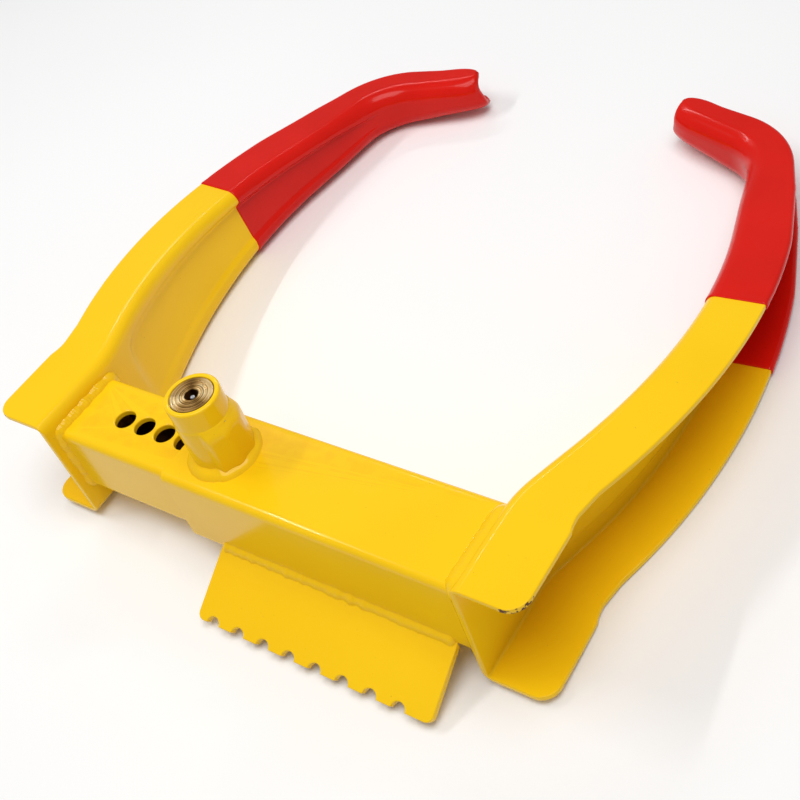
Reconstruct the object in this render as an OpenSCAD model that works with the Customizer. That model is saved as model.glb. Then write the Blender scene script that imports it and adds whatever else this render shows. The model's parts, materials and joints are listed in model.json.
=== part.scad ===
// Adjustable wheel clamp that locks and chocks a parked trailer's wheel.
// Two hooked channel arms close on the tyre from both sides. A square inner tube slides
// in a square outer tube to set the width, and a key-driven bolt drops into one of the
// inner tube's holes. The clamp lies on the ground: +X is across the wheel, +Y points
// from the tubes towards the hooked ends of the arms, and +Z is up.
// Unless a comment says otherwise, sizes below are in the clamp's own frame, whose X axis
// is the tubes' centreline and whose x = 0 is the right arm's face against the tyre.

/* [Tubes] */
// Outside width of the square outer tube
outer_tube_w = 50.8; // [50:0.2:52]
// Outside width of the square inner tube
inner_tube_w = 44; // [43:0.2:44]
// Wall of both tubes
tube_wall = 3; // [2.5:0.1:3]
// Length of the outer tube
outer_tube_len = 176; // [174:1:178]
// Length of the inner tube
inner_tube_len = 180; // [176:1:180]
// Distance between the arms' faces as drawn
arm_opening = 256; // [255:1:258]

/* [Adjustment holes] */
// Distance between holes
hole_pitch = 14.4; // [14.2:0.1:14.6]
// Radius of a hole
hole_r = 5.85; // [5.8:0.05:5.9]
// Holes that open the clamp wider than drawn
holes_wider = 4; // [2:1:4]
// Holes that close the clamp narrower than drawn
holes_narrower = 5; // [3:1:5]

/* [Arms] */
// Thickness of the pressed sheet
sheet = 3.2; // [2.8:0.1:3.4]
// Outside radius of the bends between web and flanges
bend_r = 6.5; // [6:0.5:7]
// Outside radius of the same bends along the hooked end
hook_bend_r = 9.5; // [8:0.5:9.5]
// Height of the top flange at the tubes
base_top = 33; // [32:0.5:34]
// Height of the bottom flange at the tubes
base_bottom = -41; // [-42:0.5:-40]
// Height of the top flange at the hooked end
tip_top = 15; // [14:0.5:16]
// Height of the bottom flange at the hooked end
tip_bottom = -14; // [-15:0.5:-13]
// Thickness of the dipped coating
coating = 0.8; // [0.6:0.1:1]

/* [Chock plate] */
// Length of the plate along the tube
plate_len = 144.5; // [140:0.5:146]
// Depth of the plate from the tube to its teeth
plate_depth = 39; // [37:0.5:40]
// Thickness of the plate
plate_t = 4; // [3:0.5:4]
// Angle of the plate below level
plate_slope = 30; // [28:1:32]
// Notches along the plate's edge
notches = 8; // [6:1:8]

/* [Lock barrel] */
// Outside radius of the barrel
barrel_r = 14.1; // [14:0.1:14.4]
// Height of the barrel above the tube
barrel_h = 42.6; // [42.4:0.1:43]
// Radius of the brass lock cylinder
cylinder_r = 11; // [10.8:0.1:11]
// Radius of the brass plug that the key turns
plug_r = 6; // [5.8:0.1:6]

/* [Bolt] */
// Radius of the bolt
bolt_r = 5.5; // [5.4:0.05:5.5]
// Travel of the bolt as the plug turns
bolt_travel = 11; // [10:0.5:11]
// Turn of the plug that drives the bolt, in degrees
plug_turn = 90; // [90:1:90]

/* [Hidden] */
$fn = 64;

yellow = "#f6c926";
red = "#cc2a1c";
brass = "#b08a46";
steel = "#b9bcc0";
spring_steel = "#8d9196";

static_gap = 0.03;      // round pieces that don't move on each other
running_gap = 0.06;     // shafts that turn or slide in their holes
free_gap = 0.3;         // moving pieces that don't guide each other
tube_corner_r = 4;
tube_top = outer_tube_w / 2;
left_face_x = -arm_opening;
barrel_from_end = 24;
barrel_x = barrel_from_end - outer_tube_len;

// ---- the lie of the clamp on the ground ------------------------------------------

// The taper of the arms lets the clamp settle on the arms' roots and hooked ends.
lie_angle = 5.13;
ground_lift = 42.7;
middle_x = -left_face_x / 2;
middle_y = -135.34;

module lying() {
    translate([middle_x, middle_y, ground_lift])
        rotate([-lie_angle, 0, 0])
            children();
}

// ---- tubes -------------------------------------------------------------------------

module rounded_square(size, r) {
    square([size, size - 2 * r], center = true);
    square([size - 2 * r, size], center = true);
    for (sx = [-1, 1], sy = [-1, 1])
        translate([sx * (size / 2 - r), sy * (size / 2 - r)])
            circle(r);
}

module square_tube(from_x, len, size, corner_r) {
    translate([from_x, 0, 0])
        rotate([90, 0, 90])
            linear_extrude(len)
                difference() {
                    rounded_square(size, corner_r);
                    rounded_square(size - 2 * tube_wall, corner_r - tube_wall / 2);
                }
}

module outer_tube() {
    color(yellow)
        lying()
            difference() {
                square_tube(-outer_tube_len, outer_tube_len, outer_tube_w, tube_corner_r);
                translate([barrel_x, 0, tube_top - tube_wall - 1])
                    cylinder(r = hole_r, h = tube_wall + 2);
            }
}

module inner_tube() {
    color(yellow)
        lying()
            difference() {
                square_tube(left_face_x, inner_tube_len, inner_tube_w, tube_corner_r - 0.5);
                for (i = [-holes_wider : holes_narrower])
                    translate([barrel_x - i * hole_pitch, 0, inner_tube_w / 2 - tube_wall - 1])
                        cylinder(r = hole_r, h = tube_wall + 2);
            }
}

// ---- pressed arms ------------------------------------------------------------------

// An arm's web follows a path in plan. Each stretch is [length, turn, steps], where a
// turn in degrees is a bend towards the tyre and a negative one is a bend away from it.
arm_front_y = -28.5;
arm_stretches = [
    [44.5, 0, 1],
    [21.6, -20, 3],
    [20, 0, 1],
    [118, 23.7, 5],
    [56, 11.3, 2],
    [53.5, 0, 2],
    [32, 55, 6],
    [30, 0, 1]
];
hook_end_len = 16;
hook_end_angles = [30, 60, 90];
web_end_inset = 4.5;
edge_end_inset = 4;
hook_lean = 4;
front_corner_r = 10;
front_corner_angles = [0, 30, 60, 90];
coating_from = 204;

// A station is [x, y, heading, distance along the path].
function step_on(st, len, turn) =
    let (h0 = st[2], h1 = st[2] + turn)
    abs(turn) < 0.01
        ? [st[0] - len * sin(h0), st[1] + len * cos(h0), h0, st[3] + len]
        : let (r = len / turn * 180 / PI)
          [st[0] + r * (cos(h1) - cos(h0)), st[1] + r * (sin(h1) - sin(h0)), h1, st[3] + len];

function walk(st, len, turn, steps) =
    [for (i = [1 : steps]) step_on(st, len * i / steps, turn * i / steps)];

function path_from(st, k) =
    k == len(arm_stretches)
        ? []
        : let (part = walk(st, arm_stretches[k][0], arm_stretches[k][1], arm_stretches[k][2]))
          concat(part, path_from(part[len(part) - 1], k + 1));

front = [0, arm_front_y, 0, 0];
front_stations =
    [for (a = front_corner_angles) step_on(front, front_corner_r * (1 - cos(a)), 0)];
body_stations = path_from(front, 0);
hook_start = body_stations[len(body_stations) - 1];
hook_stations = [for (a = hook_end_angles) step_on(hook_start, hook_end_len * sin(a), 0)];
arm_stations = concat(front_stations, body_stations, hook_stations);

function blend_between(a, b, t) =
    let (c = min(1, max(0, t)))
    a + (b - a) * c * c * (3 - 2 * c);

// Flange heights taper along Y, and the flange width follows the distance along the path.
taper_end_y = 310;
function top_at(st) = blend_between(base_top, tip_top, (st[1] - 40) / (taper_end_y - 40));
function bottom_at(st) =
    blend_between(base_bottom, tip_bottom, (st[1] + 10) / (taper_end_y + 10))
    + blend_between(0, hook_rise, (st[3] - rise_from) / rise_len);
flange_widths = [[0, 36], [45, 36], [80, 31], [250, 30], [296, 27], [317, 24], [345, 21.5], [367, 19]];
groove_depths = [[0, 0], [67, 0], [86, 3.6], [200, 5.5], [290, 4], [325, 0]];

// The bends between web and flanges open out towards the hooked end, whose bottom rises.
bends_open_from = 280;
bends_open_len = 40;
rise_from = 326;
rise_len = 65;
hook_rise = 6;
function bend_at(st) = blend_between(bend_r, hook_bend_r, (st[3] - bends_open_from) / bends_open_len);

// Across the web the groove is a lopsided V: [share of the way down, share of its depth].
groove_shape = [[0, 0], [0.2, 1], [0.5, 0.7], [0.8, 0.38], [0.92, 0]];

// How far the end's rounding has come, as an angle from 0 to 90.
function hook_end_turn(st) =
    asin(min(1, max(0, st[3] - hook_start[3]) / hook_end_len));
function front_inset(st) =
    st[3] >= front_corner_r
        ? 0
        : front_corner_r - sqrt(pow(front_corner_r, 2) - pow(front_corner_r - st[3], 2));
function web_inset(st) = web_end_inset * (1 - cos(hook_end_turn(st)));
function flange_edge(st) =
    lookup(st[3], flange_widths) - front_inset(st) - edge_end_inset * (1 - cos(hook_end_turn(st)));

// One skin of the section, from the top flange's free edge round the web to the bottom
// flange's free edge. grow moves it out from the tyre side, and edge_grow moves its ends.
bend_steps = 3;
function skin(st, grow, edge_grow) =
    let (
        u = web_inset(st),
        edge = flange_edge(st) + edge_grow,
        top = top_at(st),
        bottom = bottom_at(st),
        depth = lookup(st[3], groove_depths),
        r = bend_at(st),
        rr = r + grow,
        high = top - r,
        low = bottom + r
    )
    concat(
        [[edge, top + grow]],
        [for (i = [0 : bend_steps])
            let (a = 90 + 90 * i / bend_steps)
            [u + r + rr * cos(a), high + rr * sin(a)]],
        [for (i = [1 : len(groove_shape) - 1])
            [u - grow + depth * groove_shape[i][1], high + (low - high) * groove_shape[i][0]]],
        [for (i = [0 : bend_steps])
            let (a = 180 + 90 * i / bend_steps)
            [u + r + rr * cos(a), low + rr * sin(a)]],
        [[edge, bottom - grow]]
    );

function reversed(list) = [for (i = [len(list) - 1 : -1 : 0]) list[i]];

// A closed section of the channel: its tyre side, then its hollow side.
function channel_section(st, grow) =
    concat(skin(st, grow, grow), reversed(skin(st, -sheet - grow, grow)));

// How far the hook's end leans forwards at a height: not at all at its top flange.
function lean_at(st, z) =
    let (share_down = (top_at(st) - z) / (top_at(st) - bottom_at(st)))
    hook_lean * (1 - cos(hook_end_turn(st))) * blend_between(0, 1, share_down);

// Puts a section's [outward, height] points at a station.
function placed(section, st) =
    [for (p = section)
        let (lean = lean_at(st, p[1]))
        [
            st[0] + p[0] * cos(st[2]) - lean * sin(st[2]),
            st[1] + p[0] * sin(st[2]) + lean * cos(st[2]),
            p[1]
        ]];

// Joins equal rings of points into side faces, from ring number first to ring number last.
function side_faces(n, first, last) =
    [for (k = [first : last - 1], i = [0 : n - 1])
        let (j = (i + 1) % n)
        each [
            [k * n + i, k * n + j, (k + 1) * n + i],
            [k * n + j, (k + 1) * n + j, (k + 1) * n + i]
        ]];

// Closes a channel section: a strip between its tyre side and its hollow side.
function cap_faces(n, k) =
    [for (i = [0 : n / 2 - 2])
        let (a = k * n + i, b = k * n + n - 1 - i)
        each [[a, b, a + 1], [b, b - 1, a + 1]]];

function flipped(faces) = [for (f = faces) reversed(f)];

module channel_arm() {
    rings = [for (st = arm_stations) placed(channel_section(st, 0), st)];
    n = len(rings[0]);
    last = len(rings) - 1;
    polyhedron(
        points = [for (ring = rings) each ring],
        faces = concat(side_faces(n, 0, last), cap_faces(n, 0), flipped(cap_faces(n, last)))
    );
}

// The dipped coating: an outer skin that ends beyond the hook, and the arm's own surface.
module arm_coating() {
    dipped = [for (st = arm_stations) if (st[3] >= coating_from) st];
    count = len(dipped);
    end_st = step_on(dipped[count - 1], coating, 0);
    outer = concat(
        [for (st = dipped) placed(channel_section(st, coating), st)],
        [placed(channel_section(dipped[count - 1], coating), end_st)]
    );
    inner = [for (st = dipped) placed(channel_section(st, 0), st)];
    rings = concat(outer, inner);
    n = len(rings[0]);
    inner_first = count + 1;
    inner_last = 2 * count;
    rim = [for (i = [0 : n - 1])
        let (j = (i + 1) % n)
        each [
            [inner_first * n + i, inner_first * n + j, i],
            [inner_first * n + j, j, i]
        ]];
    polyhedron(
        points = [for (ring = rings) each ring],
        faces = concat(
            side_faces(n, 0, count),
            flipped(cap_faces(n, count)),
            flipped(side_faces(n, inner_first, inner_last)),
            cap_faces(n, inner_last),
            rim
        )
    );
}

// The left side is the right side's mirror image, a clamp's width away.
module as_left() {
    translate([left_face_x, 0, 0])
        mirror([1, 0, 0])
            children();
}

module right_arm() {
    color(yellow)
        lying()
            channel_arm();
}

module left_arm() {
    color(yellow)
        lying()
            as_left()
                channel_arm();
}

module right_arm_coating() {
    color(red)
        lying()
            arm_coating();
}

module left_arm_coating() {
    color(red)
        lying()
            as_left()
                arm_coating();
}

// ---- weld beads ----------------------------------------------------------------------

bead = 4;
front_bead = 2.8;

module bead_prism(w, len) {
    linear_extrude(len, center = true)
        polygon([[0, 0], [-w, 0], [0, w]]);
}

// Beads w wide in the corner between a tube's sides and an arm's face at x = 0.
// A side is an angle about the tube: 0 is its rear, 90 its top and 180 its front.
module tube_beads(size, w, sides) {
    flat = size - 2 * tube_corner_r;
    for (a = sides)
        rotate([a, 0, 0])
            translate([0, size / 2, 0])
                bead_prism(w, flat);
}

// The tube's rear stays clear, because the tyre's tread lies flat on it.
module right_arm_weld() {
    color(yellow)
        lying() {
            tube_beads(outer_tube_w, bead, [90, 270]);
            tube_beads(outer_tube_w, front_bead, [180]);
        }
}

module left_arm_weld() {
    color(yellow)
        lying()
            as_left()
                tube_beads(inner_tube_w, bead, [0, 90, 180, 270]);
}

// ---- chock plate ---------------------------------------------------------------------

plate_right_x = -10.5;
plate_top_z = -21.5;
notch_r = 4;
notch_pitch = 16.5;
first_notch = 10.5;
plate_corner_r = 4;

module plate_outline() {
    difference() {
        union() {
            translate([0, plate_corner_r])
                square([plate_len, plate_depth + 20 - plate_corner_r]);
            translate([plate_corner_r, 0])
                square([plate_len - 2 * plate_corner_r, plate_corner_r]);
            for (x = [plate_corner_r, plate_len - plate_corner_r])
                translate([x, plate_corner_r])
                    circle(plate_corner_r);
        }
        for (i = [0 : notches - 1])
            translate([first_notch + i * notch_pitch, 0])
                circle(notch_r);
    }
}

module chock_plate() {
    color(yellow)
        lying()
            difference() {
                translate([plate_right_x - plate_len, -tube_top, plate_top_z])
                    rotate([plate_slope, 0, 0])
                        translate([0, -plate_depth, -plate_t])
                            linear_extrude(plate_t)
                                plate_outline();
                translate([plate_right_x - plate_len - 1, -tube_top, -60])
                    cube([plate_len + 2, 60, 80]);
            }
}

// A bead along the plate's top, in the corner between it and the tube's front.
module chock_plate_weld() {
    color(yellow)
        lying()
            translate([plate_right_x - plate_len, -tube_top, plate_top_z])
                rotate([90, 0, 90])
                    linear_extrude(plate_len)
                        polygon([
                            [0, 0],
                            [0, bead],
                            [-bead * cos(plate_slope), -bead * sin(plate_slope)]
                        ]);
}

// ---- lock barrel -----------------------------------------------------------------------

barrel_top = tube_top + barrel_h;
boss_h = 31;
boss_chamfer = 6;
boss_r = 17.8;
boss_angles = [-48, -12, 26, 62];
pin_z = 53;
pin_r = 1.5;
pin_inner_end = 9.3;
pin_outer_end = 15;

module at_barrel() {
    lying()
        translate([barrel_x, 0, 0])
            children();
}

module boss_prism(h) {
    linear_extrude(h)
        polygon(concat([[0, 0]], [for (a = boss_angles) boss_r * [cos(a), sin(a)]]));
}

module retaining_pin_hole(r) {
    translate([0, 0, pin_z])
        rotate([0, 90, 0])
            cylinder(r = r, h = 30);
}

module lock_barrel() {
    color(yellow)
        at_barrel()
            difference() {
                union() {
                    translate([0, 0, tube_top])
                        cylinder(r = barrel_r, h = barrel_h);
                    intersection() {
                        translate([0, 0, tube_top])
                            boss_prism(boss_h);
                        union() {
                            translate([0, 0, tube_top])
                                cylinder(r = boss_r + 1, h = boss_h - boss_chamfer);
                            translate([0, 0, barrel_top - barrel_h + boss_h - boss_chamfer])
                                cylinder(r1 = boss_r + 1, r2 = barrel_r, h = boss_chamfer);
                        }
                    }
                }
                translate([0, 0, tube_top - 1])
                    cylinder(r = cylinder_r + static_gap, h = barrel_h + 2);
                retaining_pin_hole(pin_r);
            }
}

module lock_barrel_weld() {
    ring_w = 5.7;
    ring_h = 3.2;
    color(yellow)
        at_barrel()
            translate([0, 0, tube_top])
                difference() {
                    rotate_extrude()
                        polygon([[barrel_r, 0], [barrel_r + ring_w, 0], [barrel_r, ring_h]]);
                    boss_prism(boss_h);
                }
}

// ---- lock cylinder, plug and tumblers ------------------------------------------------------

cylinder_top = barrel_top - 0.4;
cylinder_len = 20;
cylinder_bottom = cylinder_top - cylinder_len;
head_r = 6.9;
head_h = 2;
keyway_r = 3.6;
keyway_depth = 16;
centre_pin_r = 1.15;
centre_pin_recess = 1.6;
clip_h = 0.8;
clip_r = 7.6;
groove_r = 5.2;
tail_w = 6.4;
tumbler_r = 1.1;
tumbler_pitch = 2.8;
tumbler_zs = [for (i = [0 : 3]) cylinder_top - 4.6 - i * tumbler_pitch];
shear_r = plug_r + running_gap;
key_pin_tip_r = keyway_r + 0.1;
driver_len = 1.9;
chamber_end_r = cylinder_r - 0.4;

// Tumbler pins and chambers lie across the barrel, pointing towards +Y.
module across(r, from_r, to_r) {
    for (z = tumbler_zs)
        translate([0, from_r, z])
            rotate([-90, 0, 0])
                cylinder(r = r, h = to_r - from_r, $fn = 32);
}

module lock_cylinder() {
    color(brass)
        at_barrel()
            difference() {
                translate([0, 0, cylinder_bottom])
                    cylinder(r = cylinder_r, h = cylinder_len);
                translate([0, 0, cylinder_bottom - 1])
                    cylinder(r = plug_r + running_gap, h = cylinder_len + 2);
                translate([0, 0, cylinder_top - head_h - running_gap])
                    cylinder(r = head_r + running_gap, h = head_h + 1);
                across(tumbler_r + static_gap, plug_r - 1, chamber_end_r);
                intersection() {
                    retaining_pin_hole(pin_r);
                    cylinder(r = 20, h = 100);
                }
            }
}

module cylinder_retaining_pin() {
    color(steel)
        at_barrel()
            translate([pin_inner_end, 0, pin_z])
                rotate([0, 90, 0])
                    cylinder(r = pin_r - 0.01, h = pin_outer_end - pin_inner_end);
}

tail_bottom = cylinder_bottom - 4.5;
plug_bottom = cylinder_bottom - 2;
clip_top = cylinder_bottom - free_gap;

module lock_plug() {
    color(brass)
        at_barrel()
            difference() {
                union() {
                    translate([0, 0, plug_bottom])
                        cylinder(r = plug_r, h = cylinder_top - plug_bottom);
                    translate([0, 0, cylinder_top - head_h])
                        cylinder(r = head_r, h = head_h);
                    translate([-tail_w / 2, -tail_w / 2, tail_bottom])
                        cube([tail_w, tail_w, plug_bottom - tail_bottom]);
                }
                translate([0, 0, cylinder_top - keyway_depth])
                    cylinder(r = keyway_r, h = keyway_depth + 1);
                across(tumbler_r + static_gap, 0, plug_r + 1);
                translate([0, 0, clip_top - clip_h - static_gap])
                    difference() {
                        cylinder(r = plug_r + 1, h = clip_h + 2 * static_gap);
                        translate([0, 0, -1])
                            cylinder(r = groove_r, h = clip_h + 3);
                    }
            }
}

module plug_centre_pin() {
    color(steel)
        at_barrel()
            translate([0, 0, cylinder_top - keyway_depth])
                cylinder(r = centre_pin_r, h = keyway_depth - centre_pin_recess);
}

module key_pins() {
    color(brass)
        at_barrel()
            across(tumbler_r, key_pin_tip_r, plug_r - running_gap);
}

module driver_pins() {
    color(steel)
        at_barrel()
            across(tumbler_r, shear_r + running_gap, shear_r + running_gap + driver_len);
}

// A coil spring along +Z with closed round wire, as one swept solid.
wire_sides = 6;
module coil(r, wire_r, turns, from_z, to_z) {
    steps = round(turns * 12);
    slant = atan((to_z - from_z - 2 * wire_r) / (2 * PI * r * turns));
    rings = [for (k = [0 : steps])
        let (a = 360 * turns * k / steps, z = from_z + wire_r + (to_z - from_z - 2 * wire_r) * k / steps)
        [for (i = [0 : wire_sides - 1])
            let (
                b = 360 * i / wire_sides,
                out = wire_r * cos(b),
                up = wire_r * sin(b) * cos(slant),
                back = wire_r * sin(b) * sin(slant)
            )
            [(r + out) * cos(a) + back * sin(a), (r + out) * sin(a) - back * cos(a), z + up]]];
    last = len(rings) - 1;
    polyhedron(
        points = [for (ring = rings) each ring],
        faces = concat(
            flipped(side_faces(wire_sides, 0, last)),
            [[for (i = [0 : wire_sides - 1]) i]],
            [[for (i = [wire_sides - 1 : -1 : 0]) last * wire_sides + i]]
        )
    );
}

module tumbler_springs() {
    spring_from = shear_r + running_gap + driver_len + 0.05;
    color(spring_steel)
        at_barrel()
            for (z = tumbler_zs)
                translate([0, 0, z])
                    rotate([-90, 0, 0])
                        coil(0.8, 0.16, 3, spring_from, chamber_end_r - 0.05);
}

module plug_clip() {
    color(spring_steel)
        at_barrel()
            translate([0, 0, clip_top - clip_h])
                difference() {
                    cylinder(r = clip_r, h = clip_h);
                    translate([0, 0, -1])
                        cylinder(r = groove_r + static_gap, h = clip_h + 2);
                    translate([0, -groove_r * 0.8, -1])
                        cube([clip_r + 1, 2 * groove_r * 0.8, clip_h + 2]);
                }
}

// ---- cam, guide and bolt ---------------------------------------------------------------------

cam_r = 8.4;
cam_bore_r = bolt_r + running_gap;
cam_top = plug_bottom - 0.2;
cam_disc_h = 2.4;
cam_bottom = tube_top + 0.5;
cross_pin_r = 1.25;
slot_w = 4.4;
cross_pin_up_z = cam_top - 7.4;
bolt_top = cross_pin_up_z + 2.3;
bolt_tip = tube_top - tube_wall + 0.5;
slot_over = 1.7;

// The cross pin climbs two helical slots, open at the bottom, as the sleeve turns.
module cam_slots() {
    slot_h = bolt_travel + 2 * slot_over;
    slot_turn = plug_turn * slot_h / bolt_travel;
    translate([0, 0, cross_pin_up_z - bolt_travel - slot_over])
        rotate([0, 0, plug_turn + plug_turn * slot_over / bolt_travel])
            linear_extrude(slot_h, twist = slot_turn, slices = 14)
                square([2 * cam_r + 4, slot_w], center = true);
}

module cam_sleeve() {
    color(steel)
        at_barrel()
            difference() {
                translate([0, 0, cam_bottom])
                    cylinder(r = cam_r, h = cam_top - cam_bottom);
                translate([0, 0, cam_bottom - 1])
                    cylinder(r = cam_bore_r, h = cam_top - cam_disc_h - cam_bottom + 1);
                translate([-tail_w / 2 - 0.1, -tail_w / 2 - 0.1, tail_bottom - 2])
                    cube([tail_w + 0.2, tail_w + 0.2, 10]);
                cam_slots();
            }
}

module guide_bush() {
    slot_top = cross_pin_up_z + cross_pin_r + 0.4;
    slot_w_guide = 2 * cross_pin_r + 2 * running_gap;
    color(steel)
        at_barrel()
            difference() {
                translate([0, 0, tube_top])
                    cylinder(r = cylinder_r, h = clip_top - clip_h - 0.4 - tube_top);
                translate([0, 0, tube_top - 1])
                    cylinder(r = cam_r + running_gap, h = 40);
                translate([-20, -slot_w_guide / 2, tube_top - 1])
                    cube([40, slot_w_guide, slot_top - tube_top + 1]);
            }
}

module locking_bolt() {
    tip_chamfer = 0.8;
    color(steel)
        at_barrel()
            difference() {
                union() {
                    translate([0, 0, bolt_tip + tip_chamfer])
                        cylinder(r = bolt_r, h = bolt_top - bolt_tip - tip_chamfer);
                    translate([0, 0, bolt_tip])
                        cylinder(r1 = bolt_r - tip_chamfer, r2 = bolt_r, h = tip_chamfer);
                }
                translate([-10, 0, cross_pin_up_z])
                    rotate([0, 90, 0])
                        cylinder(r = cross_pin_r, h = 20);
            }
}

module bolt_cross_pin() {
    half_len = cylinder_r - 0.3;
    color(steel)
        at_barrel()
            translate([-half_len, 0, cross_pin_up_z])
                rotate([0, 90, 0])
                    cylinder(r = cross_pin_r - 0.01, h = 2 * half_len);
}

module bolt_spring() {
    color(spring_steel)
        at_barrel()
            coil(4.3, 0.3, 3, bolt_top + 0.05, cam_top - cam_disc_h - 0.05);
}

outer_tube();
inner_tube();
right_arm();
left_arm();
right_arm_coating();
left_arm_coating();
right_arm_weld();
left_arm_weld();
chock_plate();
chock_plate_weld();
lock_barrel();
lock_barrel_weld();
lock_cylinder();
cylinder_retaining_pin();
driver_pins();
tumbler_springs();
lock_plug();
plug_centre_pin();
key_pins();
plug_clip();
cam_sleeve();
guide_bush();
locking_bolt();
bolt_cross_pin();
bolt_spring();
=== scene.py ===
# Looks of an adjustable clamp for a parked trailer's wheel. Sizes below are millimetres and
# degrees in the clamp's own frame: X runs along the square tubes' centreline, x = 0 is the
# right arm's face against the tyre, and Z is square to the tubes' top. CLAMP carries that
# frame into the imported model's frame, where the clamp lies on the ground a little nose up.

import json
import math

import bmesh
import bpy
from mathutils import Matrix, Vector, noise


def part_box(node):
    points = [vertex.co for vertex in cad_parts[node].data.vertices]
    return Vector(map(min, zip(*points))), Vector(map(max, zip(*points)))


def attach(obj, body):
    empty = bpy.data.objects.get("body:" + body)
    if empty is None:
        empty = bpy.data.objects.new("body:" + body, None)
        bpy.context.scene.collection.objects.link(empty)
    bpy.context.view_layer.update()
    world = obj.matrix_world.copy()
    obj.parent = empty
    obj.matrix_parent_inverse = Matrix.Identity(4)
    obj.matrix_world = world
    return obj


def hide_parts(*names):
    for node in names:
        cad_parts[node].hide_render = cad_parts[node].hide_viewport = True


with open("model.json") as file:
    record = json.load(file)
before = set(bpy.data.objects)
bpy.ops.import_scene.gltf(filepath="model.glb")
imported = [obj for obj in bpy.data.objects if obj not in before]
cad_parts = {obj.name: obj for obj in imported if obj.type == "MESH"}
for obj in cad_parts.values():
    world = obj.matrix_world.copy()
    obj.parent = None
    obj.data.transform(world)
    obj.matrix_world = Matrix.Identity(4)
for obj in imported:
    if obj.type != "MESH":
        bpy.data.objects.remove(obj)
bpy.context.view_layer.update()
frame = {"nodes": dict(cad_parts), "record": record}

MM = 0.001

# ---- the clamp's frame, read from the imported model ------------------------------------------


def mount(name):
    return next(m for m in frame["record"]["mounts"] if m["name"] == name)


def clamp_frame():
    low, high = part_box("outer_tube")
    middle = (low + high) / 2
    face = mount("tyre_tread_face")["axis"]
    lie = math.atan2(-face[2], face[1])
    origin = Matrix.Translation((high.x, middle.y, middle.z))
    return origin @ Matrix.Rotation(-lie, 4, "X")


def in_clamp(point):
    """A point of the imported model's frame, in the clamp's frame and millimetres."""
    return CLAMP.inverted() @ Vector(point) / MM


CLAMP = clamp_frame()
LEFT_FACE_X = in_clamp(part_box("inner_tube")[0]).x
OUTER_TUBE_X = in_clamp(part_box("outer_tube")[0]).x
INNER_TUBE_X = in_clamp(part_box("inner_tube")[1]).x
LOCK_FACE = in_clamp(mount("keyway")["pos_m"])
BARREL_X = LOCK_FACE.x

# ---- driving sizes --------------------------------------------------------------------------

OUTER_TUBE = 50.8
INNER_TUBE = 44.0
TUBE_WALL = 3.0
TUBE_CORNER = 4.0
TUBE_TOP = OUTER_TUBE / 2
TUBE_RIM = 0.8
HOLE_R = 5.85
HOLE_FLARE = 0.7
HOLE_PITCH = 14.4
HOLES = range(-4, 6)
DRILL_STEPS = 64

SHEET = 3.2
COATING = 0.8
BEND_R = 6.5
HOOK_BEND_R = 9.5
INNER_BEND_R = 1.5
EDGE_R = 0.7

# Edges between faces that meet at more than this many degrees stay sharp.
SHARP_FROM = 40

PLATE_LEN = 144.5
PLATE_DEPTH = 39.0
PLATE_T = 4.0
PLATE_SLOPE = 30.0
PLATE_RIGHT_X = -10.5
PLATE_TOP_Z = -21.5
PLATE_CORNER = 4.0
PLATE_EDGE = 0.5
NOTCHES = 8
NOTCH_R = 4.0
NOTCH_PITCH = 16.5
FIRST_NOTCH = 10.5

BARREL_R = 14.1
BARREL_TOP = LOCK_FACE.z + 0.4
BARREL_BORE = 11.35
PLUG_R = 6.0
BARREL_RIM = 1.2
BARREL_MOUTH = 0.7
BOSS_R = 17.8
BOSS_ANGLES = (-48, -12, 26, 62)
BOSS_FADE = 6.0
BOSS_ROUNDING = (-6, -3, 0, 3, 6)
BOSS_TOP = TUBE_TOP + 30
BOSS_CHAMFER = 7.5
BOSS_TOP_BLEND = 1.5
BOSS_SIDE_BLEND = 1.6
ROUND_STEPS = 240

# Quarter turns in four points, for small rounded edges.
ROUND_ANGLES = (0, 30, 60, 90)


def cos(degrees):
    return math.cos(math.radians(degrees))


def sin(degrees):
    return math.sin(math.radians(degrees))


def smooth(t):
    """Rises smoothly from 0 at t = 0 to 1 at t = 1."""
    t = min(1.0, max(0.0, t))
    return t * t * (3 - 2 * t)


def between(table, x):
    """Straight lines between a table's (x, value) points."""
    for (x0, v0), (x1, v1) in zip(table, table[1:]):
        if x <= x1:
            return v0 + (v1 - v0) * max(0.0, (x - x0) / (x1 - x0))
    return table[-1][1]


def spread(first, last, count):
    return [first + (last - first) * i / (count - 1) for i in range(count)]


# ---- materials ------------------------------------------------------------------------------


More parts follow.
